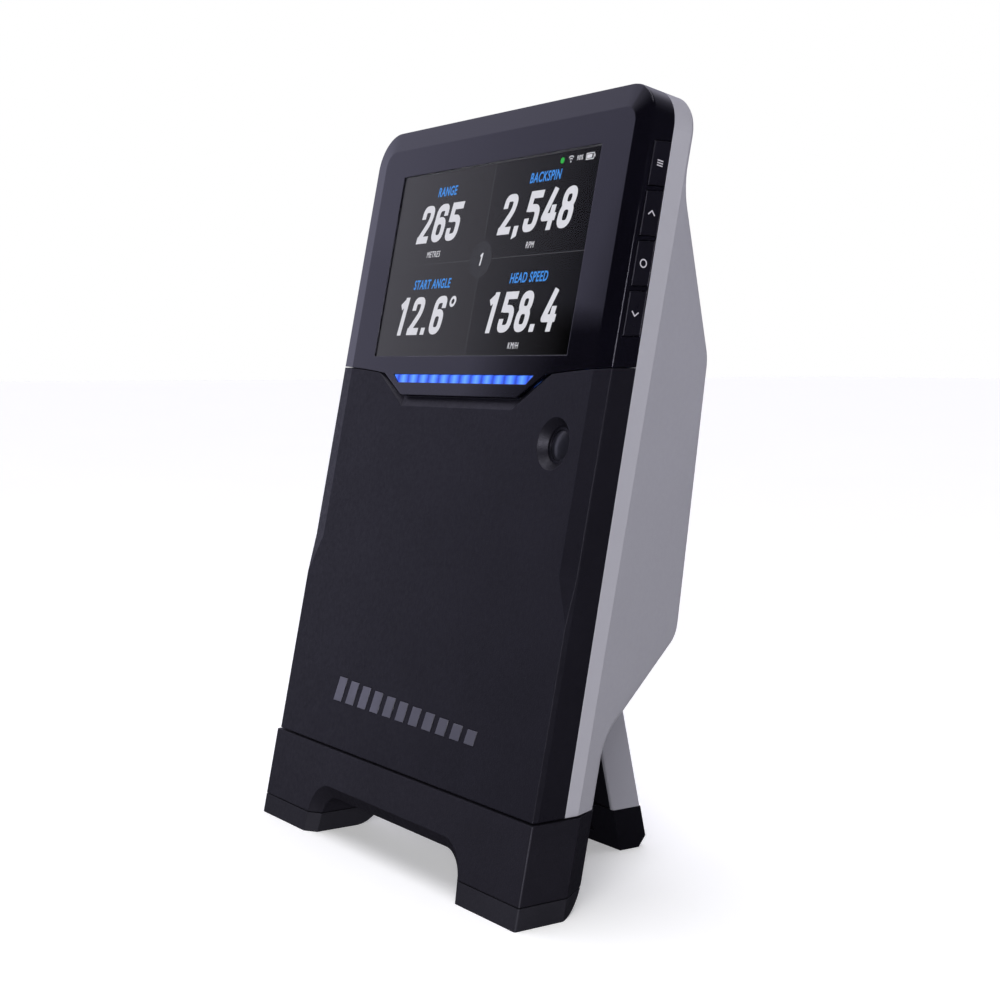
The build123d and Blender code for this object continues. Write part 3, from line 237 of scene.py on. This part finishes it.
def glow(name, color, strength):
    """A lit print or lamp: its own light, a little uneven. On the side keys it gives the printed signs a
    painted glow.
    """
    m = Maker(name)
    dim = tuple(c * 0.02 for c in color)
    m.color(m.noise(200, 2), shades(dim, 0.05))
    m.link(m.ramp(m.noise(400, 2), shades(color, 0.02)), m.shader.inputs["Emission Color"])
    m.set(Emission_Strength=strength, Roughness=0.5, Specular_IOR_Level=0.0)
    return m.material


def screen_glow_and_reflection():
    """The display's glowing ground, with a painted reflection in it: lit grey at the left, fading to nearly
    black at the right.
    """
    m = Maker("screen_glow_and_reflection")
    along = m.spread(m.axis("X"), 0, 1, -SCREEN_HALF * MM, SCREEN_HALF * MM)
    along = m.math("ADD", along, m.spread(m.noise(9, 2), -0.02, 0.02))
    # Painted reflection: the glow is grey at the left and fades to nearly black at the right, standing in for
    # studio light reflected in the glass.
    stops = [(0.0, (0.056, 0.055, 0.060)), (0.49, (0.034, 0.033, 0.036)), (0.51, (0.026, 0.0255, 0.028)),
             (1.0, (0.0004, 0.0004, 0.0004))]
    m.color(m.noise(200, 2), shades((0.0002, 0.0002, 0.0002), 0.1))
    m.link(m.ramp(along, stops), m.shader.inputs["Emission Color"])
    m.set(Emission_Strength=1.0, Roughness=0.6, Specular_IOR_Level=0.0)
    return m.material


def lamp_row(count, half):
    """The light bar's cover, lit by a row of blue lamps behind it."""
    m = Maker("lamp_row")
    pitch = 2 * half / count
    phase = m.math("FRACT", m.math("ADD", m.math("MULTIPLY", m.axis("X"), 1 / (pitch * MM)), count * 4.0))
    away = m.math("MULTIPLY", m.math("ABSOLUTE", m.math("SUBTRACT", phase, 0.5)), 2.0)
    soft = m.math("ADD", away, m.spread(m.noise(700, 2), -0.12, 0.12))
    stops = [(0.0, (0.10, 0.30, 0.98)), (0.5, (0.045, 0.16, 0.88)), (0.8, (0.016, 0.065, 0.60)),
             (1.0, (0.006, 0.028, 0.36))]
    m.link(m.ramp(soft, stops), m.shader.inputs["Emission Color"])
    m.color(m.noise(300, 2), shades((0.01, 0.03, 0.12), 0.1))
    m.rough(m.noise(300, 2), 0.18, 0.28)
    m.set(Emission_Strength=1.25)
    return m.material


COOL = (0.84, 0.82, 1.0, 1)
CHARCOAL = (0.0062, 0.0057, 0.0090)
MATERIALS = {
    "charcoal": moulded("charcoal", CHARCOAL, 0.42, 1900, 0.00010, Specular_IOR_Level=0.26,
                        Specular_Tint=COOL),
    "boot_black": moulded("boot_black", (0.0085, 0.0078, 0.0115), 0.46, 1700, 0.00010,
                          Specular_IOR_Level=0.28, Specular_Tint=COOL),
    "rubber": moulded("rubber", (0.0125, 0.0120, 0.0160), 0.58, 1500, 0.00012, Specular_IOR_Level=0.28,
                      Specular_Tint=COOL),
    "foot_black": moulded("foot_black", (0.0040, 0.0037, 0.0058), 0.40, 1500, 0.00006,
                          Specular_IOR_Level=0.20, Specular_Tint=COOL),
    "silver_shell": moulded("silver_shell", (0.33, 0.325, 0.365), 0.42, 2600, 0.00003, 0.01,
                            Specular_IOR_Level=0.4, Metallic=0.15),
    "leg_silver": moulded("leg_silver", (0.29, 0.286, 0.325), 0.42, 2600, 0.00003, 0.01,
                          Specular_IOR_Level=0.4, Metallic=0.15),
    "button_black": moulded("button_black", (0.0040, 0.0036, 0.0065), 0.32, 2400, 0.00003,
                            Specular_IOR_Level=0.4, Specular_Tint=COOL),
    "gloss_black": gloss_black(),
    "cover_glass": clear("cover_glass", (0.97, 0.97, 0.98), 0.015),
    "lens_glass": lens(),
    "ring_black": moulded("ring_black", (0.0045, 0.0042, 0.0066), 0.38, 1500, 0.00008,
                          Specular_IOR_Level=0.34, Specular_Tint=COOL),
    "silver_inlay": metal("silver_inlay", (0.40, 0.40, 0.43), 0.34, True),
    "steel": metal("steel", (0.56, 0.56, 0.58), 0.3, True),
    "sheet_metal": metal("sheet_metal", (0.62, 0.62, 0.64), 0.42),
    "circuit_board": circuit_board(),
    "black_parts": moulded("black_parts", (0.012, 0.012, 0.015), 0.45, 1200, 0.00004),
    "cell_wrap": moulded("cell_wrap", (0.02, 0.05, 0.16), 0.3, 900, 0.00003),
    "ribbon": moulded("ribbon", (0.32, 0.14, 0.02), 0.35, 900, 0.00003),
    "screen_glow_and_reflection": screen_glow_and_reflection(),
    "lamp_row": lamp_row(13, 43.0),
    "numeral_white": glow("numeral_white", (0.80, 0.80, 0.85), 0.88),
    "label_blue": glow("label_blue", (0.060, 0.290, 0.80), 0.95),
    "screen_line": glow("screen_line", (0.060, 0.060, 0.066), 1.0),
    "screen_badge": glow("screen_badge", (0.040, 0.040, 0.045), 1.0),
    "ready_green": glow("ready_green", (0.03, 0.45, 0.06), 1.0),
    # The key signs are plain prints; their emission is a painted glow.
    "icon_painted_glow": glow("icon_painted_glow", (0.62, 0.60, 0.68), 0.75),
}

NODE_MATERIALS = {
    "gloss_black": ["display_bezel"],
    "ring_black": ["camera_ring"],
    "cover_glass": ["display_glass"],
    "lamp_row": ["light_bar_lens"],
    "black_parts": ["display_panel", "camera_module", "friction_washers"],
    "ribbon": ["display_cable"],
    "circuit_board": ["light_bar_board", "button_board", "radar_board", "main_board", "wireless_antenna",
                      "port_board"],
    "charcoal": ["front_cover"],
    "boot_black": ["base_boot"],
    "rubber": ["left_sole", "right_sole"],
    "foot_black": ["kickstand_foot", "kickstand_liner"],
    "silver_inlay": ["badge_inlay"],
    "lens_glass": ["camera_lens"],
    "silver_shell": ["rear_shell"],
    "leg_silver": ["kickstand_leg"],
    "steel": ["boot_screws", "case_screws", "standoffs", "charging_port", "hinge_pin", "liner_screws"],
    "sheet_metal": ["chassis_plate", "radar_shield", "board_shield", "heat_spreader", "battery_bracket",
                    "hinge_brackets"],
    "cell_wrap": ["battery_pack"],
    "button_black": ["menu_button", "up_button", "select_button", "down_button"],
}


def dress_nodes():
    for name, nodes in NODE_MATERIALS.items():
        for node in nodes:
            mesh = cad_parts[node].data
            mesh.materials.clear()
            mesh.materials.append(MATERIALS[name])


# ---------------------------------------------------------------- flat prints
class Sheet:
    """A flat place to draw on: millimetres right and up from a point."""

    def __init__(self, origin, right, up):
        self.origin = origin
        self.right = right
        self.up = up
        self.out = right.cross(up)

    def point(self, x, y, out=0.0):
        return self.origin + (self.right * x + self.up * y + self.out * out) * MM


def print_piece(name, polygons, sheet, material, body, thickness=0.04):
    """A thin solid for each flat outline, all one piece on a body."""
    mesh = bpy.data.meshes.new(name)
    shape = bmesh.new()
    for outline in polygons:
        low = [shape.verts.new(sheet.point(x, y)) for x, y in outline]
        high = [shape.verts.new(sheet.point(x, y, thickness)) for x, y in outline]
        shape.faces.new(high)
        shape.faces.new(low[::-1])
        for index in range(len(outline)):
            after = (index + 1) % len(outline)
            shape.faces.new((low[index], low[after], high[after], high[index]))
    bmesh.ops.recalc_face_normals(shape, faces=shape.faces)
    shape.to_mesh(mesh)
    shape.free()
    piece = bpy.data.objects.new(name, mesh)
    bpy.context.scene.collection.objects.link(piece)
    mesh.materials.append(MATERIALS[material])
    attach(piece, body)
    return piece


SAME_POINT = 0.01              # points closer than this are one point, in millimetres


def rounded(points, radius, closed=False, steps=5):
    """A line through points, with its corners rounded by short curves."""
    count = len(points)
    line = []
    for index, point in enumerate(points):
        here = Vector(point)
        if not closed and index in (0, count - 1):
            line.append(here)
            continue
        before = Vector(points[index - 1]) - here
        after = Vector(points[(index + 1) % count]) - here
        reach = min(radius, before.length * 0.5, after.length * 0.5)
        start = here + before.normalized() * reach
        end = here + after.normalized() * reach
        for step in range(steps + 1):
            t = step / steps
            line.append(start * (1 - t) ** 2 + here * 2 * t * (1 - t) + end * t ** 2)
    kept = [
        point for index, point in enumerate(line)
        if index == 0 or (point - line[index - 1]).length > SAME_POINT
    ]
    if closed and (kept[0] - kept[-1]).length < SAME_POINT:
        kept.pop()
    return kept


def stroke(line, width, closed=False):
    """Quads along a line, with mitred joints."""
    count = len(line)
    sides = []
    for index in range(count):
        before = line[index] - line[index - 1] if closed or index else line[1] - line[0]
        after = line[(index + 1) % count] - line[index] if closed or index < count - 1 else before
        a = Vector((-before.y, before.x)).normalized()
        b = Vector((-after.y, after.x)).normalized()
        middle = (a + b).normalized()
        reach = width / 2 / max(0.5, middle.dot(a))
        sides.append((line[index] + middle * reach, line[index] - middle * reach))
    last = count if closed else count - 1
    return [
        (sides[i][0], sides[i][1], sides[(i + 1) % count][1], sides[(i + 1) % count][0])
        for i in range(last)
    ]


def around(x, y, radius, steps):
    """Points around a circle."""
    turns = [2 * math.pi * step / steps for step in range(steps)]
    return [(x + radius * math.cos(turn), y + radius * math.sin(turn)) for turn in turns]


def ring(x, y, radius, width, steps=28):
    return stroke([Vector(point) for point in around(x, y, radius, steps)], width, True)


def disc(x, y, radius, steps=36):
    return [around(x, y, radius, steps)]


def bar(x, y, width, height, slant=0.0):
    half = width / 2
    rise = height / 2
    lean = slant * rise
    return [[(x - half - lean, y - rise), (x + half - lean, y - rise), (x + half + lean, y + rise),
             (x - half + lean, y + rise)]]


# Each numeral's strokes on a unit box: points, how far the corners are rounded, and whether it closes.
TIP = 0.12
NUMERALS = {
    "1": [([(0.62, -TIP), (0.62, 1 + TIP)], 0, False), ([(0.02, 0.80), (0.62, 1.0)], 0, False)],
    "2": [([(0, 0.68), (0, 1), (1, 1), (1, 0.62), (0, 0)], 0.62, False), ([(-0.22, 0), (1.2, 0)], 0, False)],
    "4": [([(0.66, 1 + TIP), (0, 0.27), (1.3, 0.27)], 0.05, False), ([(0.86, 0.62), (0.86, -TIP)], 0, False)],
    "5": [([(1.2, 1), (0.0, 1), (0.0, 0.50)], 0, False),
          ([(0.0, 0.60), (1, 0.60), (1, 0), (0, 0), (0, 0.3)], 0.55, False)],
    "6": [([(1, 0.72), (1, 1), (0, 1), (0, 0.3)], 0.62, False),
          ([(0, 0), (1, 0), (1, 0.58), (0, 0.58)], 0.55, True)],
    "8": [([(0.04, 0.54), (0.96, 0.54), (0.96, 1), (0.04, 1)], 0.5, True),
          ([(0, 0), (1, 0), (1, 0.54), (0, 0.54)], 0.5, True)],
}
NUMERAL_SLANT = 0.20
# Shares of a numeral's height: stroke, width between stroke centres, gap.
NUMERAL_WEIGHT = 0.185
NUMERAL_WIDE = 0.372
NUMERAL_GAP = 0.13


def numeral_outlines(text, x, y, height, middle=True):
    """Outlines of a slanted condensed number, centred on x, standing on y."""
    weight = height * NUMERAL_WEIGHT
    wide = height * NUMERAL_WIDE
    rise = height - weight
    gap = height * NUMERAL_GAP
    advance = {".": weight * 1.25, ",": weight * 1.25, "°": height * 0.30}
    total = sum(advance.get(letter, wide + weight) + gap for letter in text) - gap
    pen = x - total / 2 if middle else x
    outlines = []

    def lay(px, py):
        return Vector((px + (py - y - height / 2) * NUMERAL_SLANT, py))

    for letter in text:
        if letter in NUMERALS:
            for points, corner, closed in NUMERALS[letter]:
                placed = [(pen + weight / 2 + px * wide, y + weight / 2 + py * rise) for px, py in points]
                line = rounded(placed, corner * wide, closed)
                quads = stroke(line, weight, closed)
                outlines += [[lay(*corner_point) for corner_point in quad] for quad in quads]
        elif letter == "°":
            quads = ring(pen + height * 0.14, y + height * 0.84, height * 0.105, height * 0.075)
            outlines += [[lay(*corner_point) for corner_point in quad] for quad in quads]
        else:
            low = y if letter == "." else y - weight * 0.75
            dot = [(pen, low), (pen + weight, low + (0 if letter == "." else weight * 0.35)),
                   (pen + weight, y + weight), (pen, y + weight)]
            outlines.append([lay(*corner_point) for corner_point in dot])
        pen += advance.get(letter, wide + weight) + gap
    return outlines


def text_piece(name, text, x, y, size, sheet, material, body, squeeze=0.74, weight=0.02, slant=0.18):
    """A short word in the built-in typeface, narrowed, emboldened and slanted."""
    curve = bpy.data.curves.new(name, "FONT")
    curve.body = text
    curve.size = size
    curve.align_x = "CENTER"
    curve.offset = weight * size
    curve.shear = slant
    curve.space_character = 1.12
    curve.extrude = 0.02
    draft = bpy.data.objects.new(name + "_draft", curve)
    bpy.context.scene.collection.objects.link(draft)
    graph = bpy.context.evaluated_depsgraph_get()
    mesh = bpy.data.meshes.new_from_object(draft.evaluated_get(graph))
    bpy.data.objects.remove(draft)
    mesh.name = name
    for vertex in mesh.vertices:
        px, py, pz = vertex.co
        vertex.co = sheet.point(x + px * squeeze, y + py, pz + 0.02)
    mesh.materials.clear()
    mesh.materials.append(MATERIALS[material])
    piece = bpy.data.objects.new(name, mesh)
    bpy.context.scene.collection.objects.link(piece)
    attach(piece, body)
    return piece


# ---------------------------------------------------------------- the display's picture
def display_picture():
    """Four readings around a round mark, and the status signs at the top right."""
    middle_v = SCREEN_LOW + SCREEN_HEIGHT / 2
    ground = Sheet(on_front(0, middle_v, PRINT_DEPTH + 0.03), ACROSS, UP_FRONT)
    ink = Sheet(on_front(0, middle_v, PRINT_DEPTH), ACROSS, UP_FRONT)
    half_w = SCREEN_HALF - 0.15
    half_h = SCREEN_HEIGHT / 2 - 0.15
    # The display's ground sheet, which carries the painted reflection across the screen.
    print_piece("screen_glow_and_reflection", bar(0, 0, 2 * half_w, 2 * half_h), ground, "screen_glow_and_reflection", "housing", 0.02)
    lines = bar(0, 0, 0.28, 2 * half_h) + bar(0, 0, 2 * half_w, 0.28)
    print_piece("screen_dividers", lines, ink, "screen_line", "housing", 0.005)
    edge = bar(0, -half_h + 0.1, 2 * half_w, 0.2)
    print_piece("screen_edge_line", edge, ink, "screen_line", "housing", 0.005)
    print_piece("screen_badge", disc(0, 0, 6.4), ink, "screen_badge", "housing", 0.01)
    front_ink = Sheet(ink.point(0, 0, 0.012), ACROSS, UP_FRONT)
    numeral = numeral_outlines("1", 0.2, -2.0, 4.2)
    print_piece("badge_numeral", numeral, front_ink, "numeral_white", "housing", 0.005)

    columns = (-30.0, 28.5)
    rows = (7.8, -25.2)
    readings = [
        ("range", "RANGE", "265", "METRES", 0, 0),
        ("spin", "BACKSPIN", "2,548", "RPM", 1, 0),
        ("angle", "START ANGLE", "12.6°", "", 0, 1),
        ("speed", "HEAD SPEED", "158.4", "KM/H", 1, 1),
    ]
    for name, label, number, unit, column, row in readings:
        x = columns[column]
        base = rows[row]
        outlines = numeral_outlines(number, x, base, 13.5)
        print_piece(f"{name}_number", outlines, front_ink, "numeral_white", "housing", 0.005)
        text_piece(f"{name}_label", label, x + 1.5, base + 16.4, 4.6, front_ink, "label_blue", "housing")
        if unit:
            text_piece(f"{name}_unit", unit, x - 1.0, base - 5.4, 3.1, front_ink, "numeral_white", "housing",
                       0.74, 0.0)

    top = SCREEN_HEIGHT / 2 - 2.9
    print_piece("ready_sign", disc(38.0, top, 1.0), front_ink, "ready_green", "housing", 0.005)
    signal = disc(42.6, top - 0.8, 0.32)
    for radius in (1.0, 1.8):
        arc = [Vector((42.6 + radius * math.sin(a), top - 0.8 + radius * math.cos(a)))
               for a in (math.radians(step) for step in range(-45, 46, 15))]
        signal += stroke(arc, 0.34)
    print_piece("signal_sign", signal, front_ink, "numeral_white", "housing", 0.005)
    text_piece("charge_text", "90%", 47.2, top - 0.75, 2.3, front_ink, "numeral_white", "housing", 0.8, 0.0)
    cell = stroke([Vector(p) for p in ((50.6, top - 0.95), (54.4, top - 0.95), (54.4, top + 0.95),
                                       (50.6, top + 0.95))], 0.3, True)
    cell += bar(52.2, top, 2.6, 1.2) + bar(54.9, top, 0.4, 0.9)
    print_piece("charge_sign", cell, front_ink, "numeral_white", "housing", 0.005)


# ---------------------------------------------------------------- signs on the side keys
def key_signs():
    """A list, an up arrow, a ring and a down arrow, printed on the four keys."""
    shapes = {
        "menu": bar(0, 0.75, 2.2, 0.34) + bar(0, 0, 2.2, 0.34) + bar(0, -0.75, 2.2, 0.34),
        "up": stroke([Vector(p) for p in ((-1.25, -0.55), (0, 0.75), (1.25, -0.55))], 0.38),
        "select": ring(0, 0, 1.15, 0.38),
        "down": stroke([Vector(p) for p in ((-1.25, 0.55), (0, -0.75), (1.25, 0.55))], 0.38),
    }
    for name, shape in shapes.items():
        low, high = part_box(f"{name}_button")
        middle = (low + high) / 2
        face = Sheet(Vector((high.x + 0.005 * MM, middle.y, middle.z)), INTO_BODY, UP_FRONT)
        # The printed signs glow with painted light, bright however the keys are lit.
        print_piece(f"{name}_sign", shape, face, "icon_painted_glow", f"{name}_key", 0.02)


# ---------------------------------------------------------------- floor, light and camera
def floor():
    half = 15.0
    mesh = bpy.data.meshes.new("floor")
    corners = [(-half, -half, 0), (half, -half, 0), (half, half, 0), (-half, half, 0)]
    mesh.from_pydata(corners, [], [(0, 1, 2, 3)])
    ground = bpy.data.objects.new("floor", mesh)
    bpy.context.scene.collection.objects.link(ground)
    m = Maker("floor")
    m.color(m.noise(3, 3), shades((0.93, 0.93, 0.93), 0.01))
    m.set(Roughness=0.7, Specular_IOR_Level=0.2, Emission_Color=(1, 1, 1, 1), Emission_Strength=0.28)
    mesh.materials.append(m.material)
    ground.visible_glossy = False


def area_light(name, place, target, size, energy):
    light = bpy.data.lights.new(name, "AREA")
    light.shape = "RECTANGLE"
    light.size, light.size_y = size
    light.energy = energy
    holder = bpy.data.objects.new(name, light)
    bpy.context.scene.collection.objects.link(holder)
    holder.location = place
    holder.rotation_euler = (Vector(target) - Vector(place)).to_track_quat("-Z", "Y").to_euler()


def down_light(name, strength, spread):
    """An even soft light from straight above, which keeps the floor white out to its horizon."""
    light = bpy.data.lights.new(name, "SUN")
    light.energy = strength
    light.angle = math.radians(spread)
    holder = bpy.data.objects.new(name, light)
    bpy.context.scene.collection.objects.link(holder)


# Brightness around the object, in degrees from the front, positive to the right.
AROUND = [(-180, 0.30), (-110, 0.30), (-80, 0.64), (-63, 0.64), (-60, 0.56), (-55.6, 0.55), (-54.4, 0.03),
          (0, 0.01), (60, 0.05), (100, 0.06), (150, 0.05), (180, 0.30)]
AROUND_TINT = (0.93, 0.91, 1.20)
ABOVE = [(-180, 0.30), (-150, 0.85), (-52, 0.85), (-44, 0.04), (140, 0.04), (180, 0.30)]
ABOVE_TINT = (0.95, 0.93, 1.10)


def studio_world():
    """White to the camera; to the object, a wide soft box at its left that fades out in front."""
    world = bpy.data.worlds.new("studio")
    world.use_nodes = True
    tree = world.node_tree

    def add(kind, **inputs):
        node = tree.nodes.new(kind)
        for key, value in inputs.items():
            node.inputs[key.replace("_", " ")].default_value = value
        return node

    def spread(source, **inputs):
        node = add("ShaderNodeMapRange", **inputs)
        tree.links.new(source, node.inputs["Value"])
        return node.outputs[0]

    def turn_ramp(source, stops, tint):
        node = add("ShaderNodeValToRGB")
        ramp = node.color_ramp
        while len(ramp.elements) < len(stops):
            ramp.elements.new(0.5)
        for element, (degrees, value) in zip(ramp.elements, stops):
            element.position = (degrees + 180) / 360
            element.color = (*(value * share for share in tint), 1)
        tree.links.new(source, node.inputs["Fac"])
        return node.outputs["Color"]

    split = add("ShaderNodeSeparateXYZ")
    tree.links.new(add("ShaderNodeTexCoord").outputs["Generated"], split.inputs[0])
    flip = add("ShaderNodeMath")
    flip.operation = "MULTIPLY"
    flip.inputs[1].default_value = -1
    tree.links.new(split.outputs["Y"], flip.inputs[0])
    turn = add("ShaderNodeMath")
    turn.operation = "ARCTAN2"
    tree.links.new(split.outputs["X"], turn.inputs[0])
    tree.links.new(flip.outputs[0], turn.inputs[1])
    # Low down, the left box ends a little further round to the left.
    lower = spread(split.outputs["Z"], From_Min=0.25, From_Max=0.27, To_Min=math.radians(2.8), To_Max=0)
    shift = add("ShaderNodeMath")
    tree.links.new(turn.outputs[0], shift.inputs[0])
    tree.links.new(lower, shift.inputs[1])
    share = spread(shift.outputs[0], From_Min=-math.pi, From_Max=math.pi)
    # The ring around dims below the horizon and gives way to the lit ceiling above.
    under = spread(split.outputs["Z"], From_Min=-0.22, From_Max=-0.10, To_Min=0.06)
    dimmed = add("ShaderNodeVectorMath")
    dimmed.operation = "SCALE"
    tree.links.new(turn_ramp(share, AROUND, AROUND_TINT), dimmed.inputs[0])
    tree.links.new(under, dimmed.inputs["Scale"])
    over = add("ShaderNodeMix")
    over.data_type = "RGBA"
    tree.links.new(spread(split.outputs["Z"], From_Min=0.35, From_Max=0.75), over.inputs[0])
    tree.links.new(dimmed.outputs[0], over.inputs[6])
    tree.links.new(turn_ramp(share, ABOVE, ABOVE_TINT), over.inputs[7])
    seen = add("ShaderNodeMix")
    seen.data_type = "RGBA"
    seen.inputs[7].default_value = (1, 1, 1, 1)
    tree.links.new(add("ShaderNodeLightPath").outputs["Is Camera Ray"], seen.inputs[0])
    tree.links.new(over.outputs[2], seen.inputs[6])
    background = tree.nodes["Background"]
    tree.links.new(seen.outputs[2], background.inputs["Color"])
    background.inputs["Strength"].default_value = 1.0
    bpy.context.scene.world = world


def camera():
    """The camera stands to the right of the front, a little above the middle."""
    yaw = 0.9746
    pitch = 0.08
    data = bpy.data.cameras.new("camera")
    data.lens = 61.2
    data.sensor_width = 36
    data.clip_start = 0.01
    holder = bpy.data.objects.new("camera", data)
    bpy.context.scene.collection.objects.link(holder)
    holder.location = FRONT + Vector((478.59, -275.17, 164.89)) * MM
    forward = Vector((-math.sin(yaw) * math.cos(pitch), math.cos(yaw) * math.cos(pitch), -math.sin(pitch)))
    holder.rotation_euler = forward.to_track_quat("-Z", "Y").to_euler()
    bpy.context.scene.camera = holder


dress_nodes()
display_picture()
key_signs()
floor()
studio_world()
area_light("right_box", (1.15, -1.15, 0.3), (0, 0, 0.14), (0.9, 0.9), 28)
down_light("overhead", 1.6, 50)
camera()
bpy.context.scene.view_settings.view_transform = "Standard"
